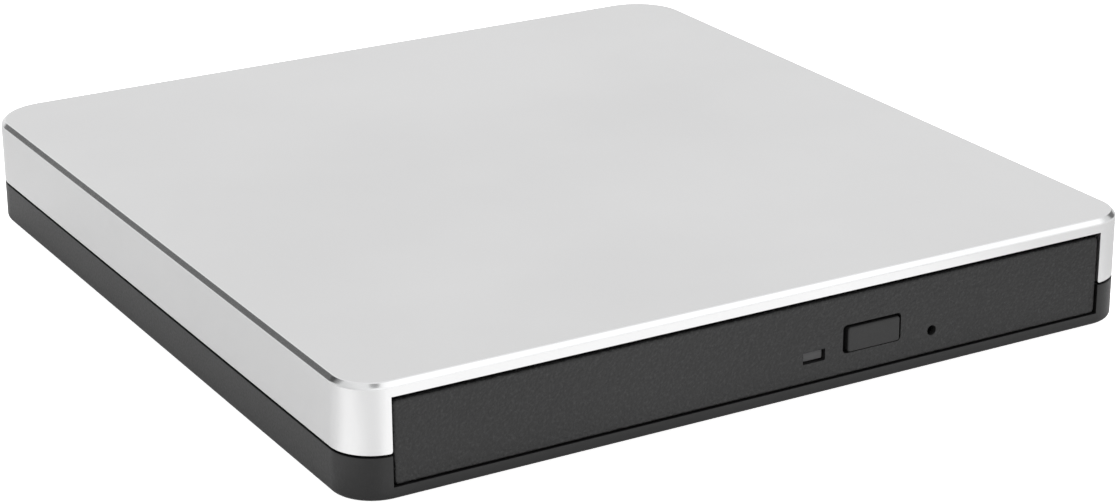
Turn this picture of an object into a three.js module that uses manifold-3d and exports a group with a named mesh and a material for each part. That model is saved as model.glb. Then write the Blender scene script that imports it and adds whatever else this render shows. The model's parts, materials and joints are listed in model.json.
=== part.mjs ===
// A slim external disc drive: a tray-load drive inside an aluminium cover and a plastic base.
// Millimetres. +X is right, -Y is the front, +Z is up; z = 0 is the ground under the feet.
import * as THREE from 'three';
import { mergeVertices } from 'three/addons/utils/BufferGeometryUtils.js';
import Module from 'manifold-3d';

const wasm = await Module();
wasm.setup();

// ---------------------------------------------------------------- driving dimensions

const caseWidth = 143;
const caseDepth = 149;
const caseHeight = 18.5;
const footLift = 1;
const frontCornerRadius = 7;
const rearCornerRadius = 10;
const coverWall = 1.5;
const coverTopThickness = 1.2;
const coverEdgeChamfer = 0.75;
const baseHeight = 7.15;
const baseWall = 2.2;
const baseFloor = 2;
const baseEdgeRound = 0.8;
const splitGap = 0.35;
const rimHeight = 1;
const slotHalfWidth = 64.8;
const slotStripHeight = 2.3;

const driveHalfWidth = 63.2;
const driveFrontY = -70;
const driveRearY = 56.5;
const driveBottomZ = 3.3;
const driveWallTopZ = 15.6;
const sheet = 0.8;

const discCentreY = -8;
const discWellRadius = 60.7;
const trayHalfWidth = 62;
const trayFrontY = -70.1;
const trayRearY = 53.6;
const deckBottomZ = 9.9;
const wellFloorZ = 11.1;
const deckTopZ = 13.4;
const railLength = 118;

const bezelHalfWidth = 64.5;
const bezelFrontY = -74.3;
const bezelBackY = -70.3;
const bezelBottomZ = 3.15;
const bezelTopZ = 16.45;
const bezelPlate = 1.6;

const feedAngleDegrees = 135;
const pickupInnerRadius = 22;
const rodOffset = 15.5;
const rodRadius = 1;
const rodHeight = 8.6;
const leadScrewX = 19.9;
const leadScrewZ = 7.3;
const clawCount = 3;

// ---------------------------------------------------------------- derived places

const halfWidth = caseWidth / 2;
const frontY = -caseDepth / 2;
const rearY = caseDepth / 2;
const caseTopZ = footLift + caseHeight;
const splitZ = footLift + baseHeight;
const floorTopZ = footLift + baseFloor;
const slotTopZ = caseTopZ - slotStripHeight;
const driveFloorZ = driveBottomZ + sheet;
// Far enough out to cut right through the case.
const beyond = 80;
const screwPlaces = [
  { side: 'front_left', x: -66.95, y: -60 },
  { side: 'front_right', x: 66.95, y: -60 },
  { side: 'rear_left', x: -66.95, y: 60 },
  { side: 'rear_right', x: 66.95, y: 60 },
];
const footPlaces = [
  { side: 'front_left', x: -57, y: -60 },
  { side: 'front_right', x: 57, y: -60 },
  { side: 'rear_left', x: -57, y: 60 },
  { side: 'rear_right', x: 57, y: 60 },
];
const footRadius = 4.5;
const footPocketDepth = 0.6;
const usbX = -30;
const usbHalfWidth = 4.5;
const usbBottomZ = 4.15;
const usbTopZ = 7.35;
const button = { left: 14.9, right: 24.8, bottom: 6.8, top: 10.95 };
const buttonHole = { left: 14, right: 25.1, bottom: 6.7, top: 11.45 };
const ledWindow = { left: 6.5, right: 10.65, bottom: 6.45, top: 8.4 };
const pinhole = { x: 31.2, z: 7.1, radius: 0.85 };
const lidScrewPlace = { x: 58, y: 50 };
const latchPivot = { x: 44, y: -44 };
const latchPost = { x: 52, y: -63.5, radius: 1.2 };
const plungerX = 48;
const plungerZ = 7.4;
const damperPlaces = [{ x: -21.2, y: -15 }, { x: 21.2, y: -15 }, { x: 0, y: 68.5 }];

// ---------------------------------------------------------------- materials

function finish(color, roughness, metalness) {
  return new THREE.MeshStandardMaterial({ color, roughness, metalness });
}

const aluminium = finish(0xd2d3d5, 0.4, 0.9);
const blackPlastic = finish(0x2b2c2e, 0.55, 0);
const darkPlastic = finish(0x303133, 0.6, 0);
const buttonPlastic = finish(0x3a3b3d, 0.5, 0);
const rubber = finish(0x1c1c1c, 0.9, 0);
const steel = finish(0xa9abad, 0.35, 1);
const zincSheet = finish(0xb9bcbf, 0.45, 0.9);
const circuitGreen = finish(0x1d5a38, 0.5, 0);
const chipBlack = finish(0x1a1a1c, 0.5, 0);
const connectorPlastic = finish(0x18181a, 0.6, 0);
const clearPlastic = finish(0xdfe3e6, 0.1, 0);
const amber = finish(0xb5732a, 0.5, 0);
const brass = finish(0xb69a5b, 0.35, 1);
const opticGlass = finish(0x9fb6d8, 0.05, 0);

// ---------------------------------------------------------------- shape helpers

function toSolid(geometry) {
  const bare = geometry.clone();
  bare.deleteAttribute('normal');
  bare.deleteAttribute('uv');
  const merged = mergeVertices(bare, 1e-4);
  const vertProperties = new Float32Array(merged.attributes.position.array);
  const triVerts = new Uint32Array(merged.index.array);
  return new wasm.Manifold(new wasm.Mesh({ numProp: 3, vertProperties, triVerts }));
}

function toGeometry(solid) {
  const mesh = solid.getMesh();
  const geometry = new THREE.BufferGeometry();
  geometry.setAttribute('position', new THREE.BufferAttribute(mesh.vertProperties, 3));
  geometry.setIndex(new THREE.BufferAttribute(mesh.triVerts, 1));
  geometry.computeVertexNormals();
  return geometry;
}

function join(...geometries) {
  return toGeometry(geometries.map(toSolid).reduce((sum, next) => sum.add(next)));
}

function cut(geometry, ...tools) {
  return toGeometry(tools.map(toSolid).reduce((left, tool) => left.subtract(tool), toSolid(geometry)));
}

function block(minX, maxX, minY, maxY, minZ, maxZ) {
  const geometry = new THREE.BoxGeometry(maxX - minX, maxY - minY, maxZ - minZ);
  return geometry.translate((minX + maxX) / 2, (minY + maxY) / 2, (minZ + maxZ) / 2);
}

function upright(radius, minZ, maxZ, x = 0, y = 0, segments = 20) {
  const geometry = new THREE.CylinderGeometry(radius, radius, maxZ - minZ, segments);
  return geometry.rotateX(Math.PI / 2).translate(x, y, (minZ + maxZ) / 2);
}

function lying(radius, minY, maxY, x, z, segments = 14) {
  const geometry = new THREE.CylinderGeometry(radius, radius, maxY - minY, segments);
  return geometry.translate(x, (minY + maxY) / 2, z);
}

function turned(profile, segments) {
  const points = profile.map(([radius, z]) => new THREE.Vector2(radius, z));
  return new THREE.LatheGeometry(points, segments).rotateX(Math.PI / 2);
}

// A rectangle in plan with one radius for its two front corners and one for its two rear corners.
function plan(minX, maxX, minY, maxY, frontRadius, rearRadius = frontRadius) {
  const shape = new THREE.Shape();
  shape.moveTo(minX + frontRadius, minY);
  shape.lineTo(maxX - frontRadius, minY);
  shape.absarc(maxX - frontRadius, minY + frontRadius, frontRadius, -Math.PI / 2, 0);
  shape.lineTo(maxX, maxY - rearRadius);
  shape.absarc(maxX - rearRadius, maxY - rearRadius, rearRadius, 0, Math.PI / 2);
  shape.lineTo(minX + rearRadius, maxY);
  shape.absarc(minX + rearRadius, maxY - rearRadius, rearRadius, Math.PI / 2, Math.PI);
  shape.lineTo(minX, minY + frontRadius);
  shape.absarc(minX + frontRadius, minY + frontRadius, frontRadius, Math.PI, Math.PI * 1.5);
  shape.closePath();
  return shape;
}

// The case outline moved inwards by inset.
function casePlan(inset) {
  return plan(-halfWidth + inset, halfWidth - inset, frontY + inset, rearY - inset,
    frontCornerRadius - inset, rearCornerRadius - inset);
}

function polygon(points) {
  return new THREE.Shape(points.map(([x, y]) => new THREE.Vector2(x, y)));
}

// A plan raised from minZ to maxZ. Edge takes both rims off, as a chamfer or as a round of more steps.
function raised(shape, minZ, maxZ, edge = 0, curveSegments = 4, edgeSteps = 2) {
  const geometry = new THREE.ExtrudeGeometry(shape, {
    depth: maxZ - minZ - 2 * edge,
    curveSegments,
    bevelEnabled: edge > 0,
    bevelThickness: edge,
    bevelSize: edge,
    bevelOffset: -edge,
    bevelSegments: edgeSteps,
  });
  return geometry.translate(0, 0, minZ + edge);
}

// A plan drawn in X and Z, going back from frontDepth to backDepth along +Y.
function goingBack(shape, minY, maxY, edge = 0) {
  return raised(shape, -maxY, -minY, edge).rotateX(Math.PI / 2);
}

function piece(parent, name, geometry, material) {
  const mesh = new THREE.Mesh(geometry, material);
  mesh.name = name;
  parent.add(mesh);
  return mesh;
}

function group(parent, x, y, z, angleDegrees = 0) {
  const placed = new THREE.Group();
  placed.position.set(x, y, z);
  placed.rotation.z = THREE.MathUtils.degToRad(angleDegrees);
  parent.add(placed);
  return placed;
}

// A block on the left (side -1) or the right (side 1), between two distances from the middle.
function sideBlock(side, innerX, outerX, minY, maxY, minZ, maxZ) {
  const centre = side * (innerX + outerX) / 2;
  const half = (outerX - innerX) / 2;
  return block(centre - half, centre + half, minY, maxY, minZ, maxZ);
}

// ---------------------------------------------------------------- case

function topCoverGeometry() {
  const tall = raised(casePlan(0), splitZ - 4, caseTopZ, coverEdgeChamfer, 6, 1);
  const shell = cut(
    tall,
    block(-beyond, beyond, -beyond, beyond, splitZ - 5, splitZ + splitGap / 2),
    raised(casePlan(coverWall), splitZ - 5, caseTopZ - coverTopThickness, 0, 6),
  );
  const posts = screwPlaces.map(({ x, y }) => cut(
    upright(2.6, splitZ + 1.2, caseTopZ - 1, x, y, 16),
    upright(1, splitZ + 1, caseTopZ - 3.5, x, y, 14),
  ));
  const slot = block(-slotHalfWidth, slotHalfWidth, frontY - 1, frontY + 4, splitZ - 2, slotTopZ);
  return cut(join(shell, ...posts), slot);
}

function baseShellGeometry() {
  const tall = raised(casePlan(0), footLift, splitZ + 4, baseEdgeRound, 6);
  const wallTopZ = splitZ - splitGap / 2;
  const tray = cut(
    tall,
    block(-beyond, beyond, -beyond, beyond, wallTopZ, splitZ + 5),
    raised(casePlan(baseWall), floorTopZ, splitZ + 5, 0, 6),
  );
  const rimOutside = raised(casePlan(coverWall + 0.2), floorTopZ - 0.5, splitZ + rimHeight, 0, 6);
  const rimInside = raised(casePlan(baseWall + 0.5), floorTopZ, splitZ + 5, 0, 6);
  const rim = cut(rimOutside, rimInside);
  const bosses = screwPlaces.map(({ x, y }) => upright(2.6, floorTopZ - 1, splitZ + rimHeight, x, y, 16));
  const boardPads = [-52, -8].map((x) => block(x - 3, x + 3, 60, 68, floorTopZ - 0.5, 3.25));
  const screwHoles = screwPlaces.flatMap(({ x, y }) => [
    upright(1.1, footLift - 1, splitZ + 3, x, y, 12),
    upright(2.3, footLift - 1, floorTopZ + 0.2, x, y, 16),
  ]);
  const footPockets = footPlaces.map(({ x, y }) =>
    upright(footRadius + 0.15, footLift - 1, footLift + footPocketDepth, x, y, 20));
  const slot = block(-slotHalfWidth, slotHalfWidth, frontY - 1, frontY + 4, floorTopZ, splitZ + 3);
  const usbHole = block(usbX - usbHalfWidth - 0.3, usbX + usbHalfWidth + 0.3, rearY - 4, rearY + 1,
    usbBottomZ - 0.2, usbTopZ + 0.2);
  return cut(join(tray, rim, ...bosses, ...boardPads), ...screwHoles, ...footPockets, slot, usbHole);
}

function footGeometry() {
  const top = footLift + footPocketDepth - 0.05;
  return turned([[0, 0], [footRadius - 0.5, 0], [footRadius, 0.4], [footRadius, top], [0, top]], 16);
}

function caseScrewGeometry() {
  return turned([[0, 1.7], [2, 1.7], [2, 3.1], [0.85, 3.1], [0.85, 13.5], [0, 14]], 10);
}

// ---------------------------------------------------------------- USB bridge

function usbShellGeometry() {
  const outside = plan(usbX - usbHalfWidth, usbX + usbHalfWidth, usbBottomZ, usbTopZ, 1.5);
  const inside = plan(usbX - usbHalfWidth + 0.3, usbX + usbHalfWidth - 0.3,
    usbBottomZ + 0.3, usbTopZ - 0.3, 1.2);
  return cut(goingBack(outside, rearY - 8.5, rearY - 0.2), goingBack(inside, rearY - 7.5, rearY + 1));
}

function usbTongueGeometry() {
  const middleZ = (usbBottomZ + usbTopZ) / 2;
  return block(usbX - 3.2, usbX + 3.2, rearY - 7.4, rearY - 1.4, middleZ - 0.35, middleZ + 0.35);
}

function sataSocketGeometry() {
  return cut(block(-19, 5, 58.6, 64, 4.15, 9), block(-17.5, 3.5, 58, 62.5, 5.9, 7.3));
}

function sataPlugGeometry() {
  return join(block(-18, 4, 54.4, 58.2, 5.3, 8.8), block(-16.8, 2.8, 58, 62, 6.2, 7));
}

function addBridge(parent) {
  piece(parent, 'bridge_board', block(-58, 8, 58.5, 71.6, 3.3, 4.1), circuitGreen);
  piece(parent, 'bridge_chip', block(-48, -41, 61, 68, 4.15, 5.1), chipBlack);
  piece(parent, 'usb_socket_shell', usbShellGeometry(), steel);
  piece(parent, 'usb_socket_tongue', usbTongueGeometry(), connectorPlastic);
  piece(parent, 'sata_socket', sataSocketGeometry(), connectorPlastic);
}

function addCase(parent) {
  piece(parent, 'top_cover', topCoverGeometry(), aluminium);
  piece(parent, 'base_shell', baseShellGeometry(), blackPlastic);
  for (const { side, x, y } of footPlaces) {
    piece(parent, `foot_${side}`, footGeometry(), rubber).position.set(x, y, 0);
  }
  for (const { side, x, y } of screwPlaces) {
    piece(parent, `case_screw_${side}`, caseScrewGeometry(), steel).position.set(x, y, 0);
  }
}

// ---------------------------------------------------------------- fixed part of the drive

function lidScrewHoles() {
  const { x, y } = lidScrewPlace;
  return [-1, 1].map((side) => upright(0.95, driveWallTopZ - 3, caseTopZ, side * x, y, 12));
}

function chassisGeometry() {
  const outside = block(-driveHalfWidth, driveHalfWidth, driveFrontY, driveRearY,
    driveBottomZ, driveWallTopZ);
  const inside = block(-driveHalfWidth + sheet, driveHalfWidth - sheet, driveFrontY - 1,
    driveRearY - sheet, driveFloorZ, driveWallTopZ + 1);
  const plugNotch = block(-18.3, 4.3, driveRearY - 2, driveRearY + 1, 5, 9.1);
  const screwTabs = [-1, 1].map((side) =>
    sideBlock(side, 55, driveHalfWidth - 0.3, 46, driveRearY - 0.3, driveWallTopZ - 1, driveWallTopZ));
  const tabHoles = lidScrewHoles();
  const plungerBracket = cut(
    block(plungerX - 2.5, plungerX + 2.1, 30, 31.5, driveFloorZ - 0.3, 9.6),
    lying(1.3, 29, 33, plungerX, plungerZ),
  );
  return cut(join(cut(outside, inside, plugNotch), ...screwTabs, plungerBracket), ...tabHoles);
}

function lidGeometry() {
  const sheetTopZ = driveWallTopZ + 0.7;
  const skin = block(-63.9, 63.9, driveFrontY + 0.5, driveRearY, driveWallTopZ - 3.5, sheetTopZ);
  const room = block(-63.4, 63.4, driveFrontY, driveRearY + 1, driveWallTopZ - 4, driveWallTopZ + 0.1);
  return cut(skin, room, ...lidScrewHoles());
}

function lidScrewGeometry() {
  const underHeadZ = driveWallTopZ + 0.75;
  return turned([
    [0, 13.8], [0.75, 13.8], [0.75, underHeadZ], [1.7, underHeadZ],
    [1.7, underHeadZ + 0.4], [1.2, underHeadZ + 0.6], [0, underHeadZ + 0.6],
  ], 10);
}

// A channel open towards the tray: a web with a flange at its top and at its bottom.
function railChannel(side, flangeInnerX, webInnerX, webOuterX, minY, maxY, minZ, maxZ, thickness) {
  const outside = sideBlock(side, flangeInnerX, webOuterX, minY, maxY, minZ, maxZ);
  const inside = sideBlock(side, flangeInnerX - 1, webInnerX, minY - 1, maxY + 1,
    minZ + thickness, maxZ - thickness);
  return cut(outside, inside);
}

function flexCableGeometry() {
  return raised(plan(24, 38, -20, 50, 3), 4.25, 4.45);
}

// A coil of square-ended wire along Y behind the plunger's flange.
class Coil extends THREE.Curve {
  constructor(radius, turns, startY, endY) {
    super();
    Object.assign(this, { radius, turns, startY, endY });
  }

  getPoint(t, target = new THREE.Vector3()) {
    const angle = 2 * Math.PI * this.turns * t;
    const y = this.startY + (this.endY - this.startY) * t;
    return target.set(
      plungerX + this.radius * Math.cos(angle),
      y,
      plungerZ + this.radius * Math.sin(angle),
    );
  }
}

function ejectSpringGeometry() {
  const wire = polygon([[-0.18, -0.18], [0.18, -0.18], [0.18, 0.18], [-0.18, 0.18]]);
  const extrudePath = new Coil(1.5, 8, 43.6, 55.2);
  return new THREE.ExtrudeGeometry(wire, { steps: 64, extrudePath, bevelEnabled: false });
}

function ejectPlungerGeometry() {
  return join(
    lying(1.9, 27.8, 29.2, plungerX, plungerZ),
    lying(1, 29, 43, plungerX, plungerZ),
    lying(1.9, 42, 43.1, plungerX, plungerZ),
  );
}

function addDrive(parent) {
  piece(parent, 'drive_chassis', chassisGeometry(), zincSheet);
  piece(parent, 'drive_lid', lidGeometry(), zincSheet);
  for (const [name, side] of [['left', -1], ['right', 1]]) {
    const screw = piece(parent, `lid_screw_${name}`, lidScrewGeometry(), steel);
    screw.position.set(side * lidScrewPlace.x, lidScrewPlace.y, 0);
    const guide = railChannel(side, 60.4, 61.8, 62.3, -66, 54, 4.3, 9.6, 0.5);
    piece(parent, `rail_guide_${name}`, guide, darkPlastic);
    const rail = railChannel(side, 59.4, 61.1, 61.6, -64, -64 + railLength, 5, 8.9, 0.5);
    piece(parent, `slide_rail_${name}`, rail, steel);
  }
  piece(parent, 'drive_board', block(-50, 22, 36, 54, 4.4, 5.2), circuitGreen);
  piece(parent, 'drive_chip', block(-24, -10, 39, 52, 5.25, 6.4), chipBlack);
  piece(parent, 'sata_plug', sataPlugGeometry(), connectorPlastic);
  const post = upright(latchPost.radius, driveFloorZ + 0.05, 8.6, latchPost.x, latchPost.y, 14);
  piece(parent, 'latch_post', post, steel);
  piece(parent, 'flex_cable', flexCableGeometry(), amber);
  piece(parent, 'eject_spring', ejectSpringGeometry(), steel);
  piece(parent, 'eject_plunger', ejectPlungerGeometry(), darkPlastic);
}

// ---------------------------------------------------------------- tray and its front

// Something drawn in the traverse's own frame, moved to the drive's frame.
function fromTraverse(geometry) {
  return geometry
    .rotateZ(THREE.MathUtils.degToRad(feedAngleDegrees))
    .translate(0, discCentreY, 0);
}

function trayGeometry() {
  const deckPlan = plan(-trayHalfWidth, trayHalfWidth, trayFrontY, trayRearY, 1, 7);
  const deck = raised(deckPlan, deckBottomZ, deckTopZ, 0.4);
  const well = upright(discWellRadius, wellFloorZ, deckTopZ + 1, 0, discCentreY, 64);
  const fingerScoops = [[1, -1], [-1, -1], [-1, 1], [1, 1]].map(([sideX, sideY]) =>
    upright(9, wellFloorZ, deckTopZ + 1, sideX * 42, discCentreY + sideY * 42, 20));
  const opening = fromTraverse(raised(plan(-19, 19, -17, 65.5, 5), deckBottomZ - 1, deckTopZ + 1));
  const skirts = [-1, 1].map((side) => join(
    sideBlock(side, 57.4, 58.9, -69.8, 52, 5.4, deckBottomZ + 0.5),
    sideBlock(side, 58.5, 60.8, -68, 50, 5.9, 8),
  ));
  const bosses = damperPlaces.map(({ x, y }) => fromTraverse(cut(
    upright(2.2, 8.25, deckBottomZ + 0.6, x, y, 16),
    upright(0.95, 8, 9.6, x, y, 12),
  )));
  const pushTab = block(46.2, 49.8, 26, 27.5, 5.4, deckBottomZ + 0.5);
  const latchPin = upright(1.2, 5.2, deckBottomZ + 0.5, latchPivot.x, latchPivot.y, 16);
  const hollowed = cut(deck, well, ...fingerScoops, opening);
  return join(hollowed, ...skirts, ...bosses, pushTab, latchPin);
}

function rectangleOf({ left, right, bottom, top }, cornerRadius) {
  return plan(left, right, bottom, top, cornerRadius);
}

function bezelGeometry() {
  const outline = plan(-bezelHalfWidth, bezelHalfWidth, bezelBottomZ, bezelTopZ, 0.6);
  const solid = goingBack(outline, bezelFrontY, bezelBackY + 1, 0.35);
  const trim = block(-beyond, beyond, bezelBackY, bezelBackY + 3, 0, caseTopZ);
  const room = block(-62.9, 62.9, bezelFrontY + bezelPlate, bezelBackY + 3, 4.7, 15.2);
  const buttonOpening = goingBack(rectangleOf(buttonHole, 0.5), bezelFrontY - 1, bezelBackY);
  const ledOpening = goingBack(rectangleOf(ledWindow, 0.15), bezelFrontY - 1, bezelBackY);
  const pinOpening = lying(pinhole.radius, bezelFrontY - 1, bezelBackY, pinhole.x, pinhole.z, 16);
  return cut(solid, trim, room, buttonOpening, ledOpening, pinOpening);
}

function ejectButtonGeometry() {
  const plateBackY = bezelFrontY + bezelPlate;
  return join(
    goingBack(rectangleOf(button, 0.4), frontY, plateBackY + 0.6, 0.25),
    block(13.4, 25.7, plateBackY + 0.2, plateBackY + 0.8, 6.25, 11.85),
    block(18.4, 21.4, plateBackY + 0.7, -69.95, 7.2, 9.2),
  );
}

function ledLensGeometry() {
  return block(ledWindow.left + 0.25, ledWindow.right - 0.25, bezelFrontY + 0.5, -70.6,
    ledWindow.bottom + 0.2, ledWindow.top - 0.2);
}

function latchLeverGeometry() {
  const outline = polygon([
    [-1.9, -17], [5.6, -17], [5.6, -15.6], [3.2, -14.6],
    [1.9, -14.6], [1.9, 1.9], [-1.9, 1.9],
  ]);
  return cut(raised(outline, 5.5, 8.2), upright(1.4, 5, 9, 0, 0, 16));
}

function addTrayFront(parent) {
  piece(parent, 'bezel', bezelGeometry(), blackPlastic);
  piece(parent, 'led_lens', ledLensGeometry(), clearPlastic);
  piece(parent, 'front_board', block(6, 29.5, -69.8, -61, 5, 5.8), circuitGreen);
  piece(parent, 'eject_switch', block(17.4, 22.4, -69.2, -65, 5.85, 9.3), chipBlack);
  piece(parent, 'led', block(7.1, 10.1, -70.1, -68.2, 5.85, 8.2), clearPlastic);
  piece(parent, 'latch_solenoid', block(35.6, 41.6, -59, -46.5, 5.2, 9.4), zincSheet);
}

// ---------------------------------------------------------------- traverse: spindle and optics

function traverseFrameGeometry() {
  const outline = polygon([[-24.5, -20], [24.5, -20], [24.5, 55], [9.8, 69.7], [-9.8, 69.7], [-24.5, 55]]);
  const ear = upright(4.2, 5.4, 7.4, 0, 68.5, 24);
  const rodBlocks = [-1, 1].flatMap((side) => [
    sideBlock(side, 13.8, 17, 5.6, 9, 7, 9.8),
    sideBlock(side, 13.8, 17.4, 57.6, 61, 5.4, 9.8),
  ]);
  const screwBearing = block(18.3, 22.5, 51.8, 53.6, 5.4, 9);
  const opening = polygon([[-22, 9.4], [22, 9.4], [22, 53.8], [11.4, 64.4], [-11.4, 64.4], [-22, 53.8]]);
  // The pan closes the opening from below. Its thin lip passes over the spindle's base plate.
  const panOutline = polygon([
    [-23, 11.4], [23, 11.4], [23, 54.2], [11.8, 65.4], [-11.8, 65.4], [-23, 54.2],
  ]);
  const pan = join(raised(panOutline, 5, 5.45), block(-21.8, 21.8, 9, 12, 5.25, 5.45));
  const rodHoles = [-1, 1].map((side) => lying(rodRadius + 0.15, 5, 59.4, side * rodOffset, rodHeight, 16));
  const damperHoles = damperPlaces.map(({ x, y }) => upright(2.6, 5, 8, x, y, 20));
  const plate = cut(
    join(raised(outline, 5.4, 7.4), ear),
    raised(opening, 5, 8),
    upright(11.6, 5, 8, 0, 0, 24),
    block(16.9, 23.1, -8.4, 10, 5, 8),
    ...damperHoles,
  );
  return cut(
    join(plate, pan, ...rodBlocks, screwBearing),
    ...rodHoles,
    lying(0.7, 51, 54, leadScrewX, leadScrewZ, 12),
  );
}

function traverseCoverGeometry() {
  return cut(
    raised(plan(-18.6, 18.6, -16.6, 65.1, 4.6), 10.5, 10.9),
    upright(15, 10, 12, 0, 0, 28),
    raised(plan(-9, 9, 5, 63, 3), 10, 12),
  );
}

function damperGeometry() {
  return turned([
    [1.2, 5.5], [2.4, 5.5], [2.4, 6.2], [2.1, 6.4], [2.1, 7.2],
    [2.4, 7.5], [2.4, 8.15], [1.2, 8.15], [1.2, 5.5],
  ], 12);
}

function damperScrewGeometry() {
  return turned([[0, 4.85], [1.9, 4.85], [1.9, 5.4], [0.8, 5.4], [0.8, 9.2], [0, 9.4]], 8);
}

function spindleBaseGeometry() {
  return join(raised(plan(-13, 13, -15, 11, 3), 4.8, 5.2), upright(3, 5.1, 6.5, 0, 0, 20));
}

function spindleRotorGeometry() {
  const body = turned([
    [0, 6.7], [10, 6.7], [10, 9.3], [5, 9.6], [5, 10], [12.5, 10], [12.5, 11.6],
    [7.35, 11.6], [7.35, 13.7], [6.6, 14.4], [2.2, 14.4], [1.8, 14], [0, 14],
  ], 28);
  const pockets = Array.from({ length: clawCount }, (_, index) =>
    block(4.2, 9, -1.7, 1.7, 12.3, 13.6).rotateZ(2 * Math.PI * index / clawCount));
  return cut(body, ...pockets);
}

function turntableRingGeometry() {
  return turned([[8.6, 11.65], [12.3, 11.65], [12.3, 12], [8.6, 12], [8.6, 11.65]], 28);
}

function clampClawGeometry() {
  const side = polygon([[5.1, 12.5], [7.5, 12.5], [7.85, 13], [7.2, 13.4], [5.1, 13.4]]);
  return goingBack(side, -1.4, 1.4);
}

function leadScrewGeometry() {
  return join(
    lying(1.3, 6, 51.4, leadScrewX, leadScrewZ, 14),
    lying(0.5, 51, 53.2, leadScrewX, leadScrewZ, 12),
  );
}

function feedMotorGeometry() {
  return goingBack(plan(17.4, 22.6, 4.9, 9.7, 1.2), -8, 5.6);
}

function pickupBodyGeometry() {
  const outline = polygon([[-12.5, -7], [12.5, -7], [12.5, 2], [7, 7], [-7, 7], [-12.5, 2]]);
  const arms = block(-17.7, 17.7, -7, -1, 7.1, 10.1);
  const screwFollower = block(17, 18.3, -7, -5.7, 7.1, 8.1);
  const holderPocket = block(-6.7, 6.7, -5.2, 5.2, 8.9, 12);
  const mainBore = lying(rodRadius + 0.15, -8, 8, -rodOffset, rodHeight, 16);
  const subFork = block(rodOffset - rodRadius - 0.15, 16.7, -8, 8, rodHeight - rodRadius - 0.15,
    rodHeight + rodRadius + 0.15);
  return cut(
    join(raised(outline, 5.6, 9.9), arms, screwFollower),
    holderPocket,
    mainBore,
    subFork,
  );
}

function lensHolderGeometry() {
  return cut(
    raised(plan(-6, 6, -4.5, 4.5, 1), 9.4, 10.9),
    upright(2.15, 10.1, 12, 0, 0, 14),
    upright(1.5, 9, 11, 0, 0, 14),
  );
}

function objectiveLensGeometry() {
  const radius = 2;
  const rise = 0.8;
  const dome = Array.from({ length: 5 }, (_, index) => {
    const angle = Math.PI / 2 * index / 4;
    return [radius * Math.cos(angle), 10.5 + rise * Math.sin(angle)];
  });
  dome[4][0] = 0;
  return turned([[0, 10.15], [radius, 10.15], ...dome], 14);
}

function addTraverse(parent) {
  const traverse = group(parent, 0, discCentreY, 0, feedAngleDegrees);
  piece(traverse, 'traverse_frame', traverseFrameGeometry(), darkPlastic);
  piece(traverse, 'traverse_cover', traverseCoverGeometry(), zincSheet);
  damperPlaces.forEach(({ x, y }, index) => {
    piece(traverse, `damper_${index + 1}`, damperGeometry(), rubber).position.set(x, y, 0);
    piece(traverse, `damper_screw_${index + 1}`, damperScrewGeometry(), steel).position.set(x, y, 0);
  });
  piece(traverse, 'spindle_base', spindleBaseGeometry(), steel);
  piece(traverse, 'spindle_rotor', spindleRotorGeometry(), zincSheet);
  piece(traverse, 'turntable_ring', turntableRingGeometry(), rubber);
  for (let index = 0; index < clawCount; index += 1) {
    const claw = piece(traverse, `clamp_claw_${index + 1}`, clampClawGeometry(), blackPlastic);
    claw.rotation.z = 2 * Math.PI * index / clawCount;
  }
  const rod = lying(rodRadius, 5.8, 59.2, 0, rodHeight, 16);
  piece(traverse, 'guide_rod_main', rod, steel).position.x = -rodOffset;
  piece(traverse, 'guide_rod_sub', rod.clone(), steel).position.x = rodOffset;
  piece(traverse, 'feed_motor', feedMotorGeometry(), zincSheet);
  piece(traverse, 'lead_screw', leadScrewGeometry(), brass);
  const pickup = group(traverse, 0, pickupInnerRadius, 0);
  piece(pickup, 'pickup_body', pickupBodyGeometry(), zincSheet);
  piece(pickup, 'lens_holder', lensHolderGeometry(), blackPlastic);
  piece(pickup, 'objective_lens', objectiveLensGeometry(), opticGlass);
}

function addTray(parent) {
  piece(parent, 'tray', trayGeometry(), darkPlastic);
  piece(parent, 'eject_button', ejectButtonGeometry(), buttonPlastic);
  const lever = piece(parent, 'latch_lever', latchLeverGeometry(), darkPlastic);
  lever.position.set(latchPivot.x, latchPivot.y, 0);
  addTrayFront(parent);
  addTraverse(parent);
}

// ---------------------------------------------------------------- assembly

const opticalDrive = new THREE.Group();
addCase(opticalDrive);
addBridge(opticalDrive);
addDrive(opticalDrive);
addTray(opticalDrive);

export default opticalDrive;
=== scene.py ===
import json
import math

import bmesh
import bpy
from mathutils import Matrix, Vector


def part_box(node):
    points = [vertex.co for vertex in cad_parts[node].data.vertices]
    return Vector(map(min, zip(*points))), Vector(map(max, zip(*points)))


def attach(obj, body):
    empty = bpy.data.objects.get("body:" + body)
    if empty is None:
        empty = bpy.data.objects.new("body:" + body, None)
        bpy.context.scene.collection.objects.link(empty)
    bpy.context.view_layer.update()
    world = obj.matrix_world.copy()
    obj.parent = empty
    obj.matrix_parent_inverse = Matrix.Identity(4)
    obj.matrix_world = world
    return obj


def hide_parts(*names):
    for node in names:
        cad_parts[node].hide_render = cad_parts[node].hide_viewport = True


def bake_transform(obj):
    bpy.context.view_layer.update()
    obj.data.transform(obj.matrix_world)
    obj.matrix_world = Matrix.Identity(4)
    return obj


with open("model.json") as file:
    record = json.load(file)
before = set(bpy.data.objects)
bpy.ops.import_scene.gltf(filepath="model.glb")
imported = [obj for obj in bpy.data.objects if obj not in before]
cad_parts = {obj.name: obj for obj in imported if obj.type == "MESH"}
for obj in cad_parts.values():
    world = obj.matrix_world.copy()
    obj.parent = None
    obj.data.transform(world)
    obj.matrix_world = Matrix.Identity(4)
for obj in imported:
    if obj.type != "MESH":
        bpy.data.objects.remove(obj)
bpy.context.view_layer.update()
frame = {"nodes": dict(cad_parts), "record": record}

MM = 0.001

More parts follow.
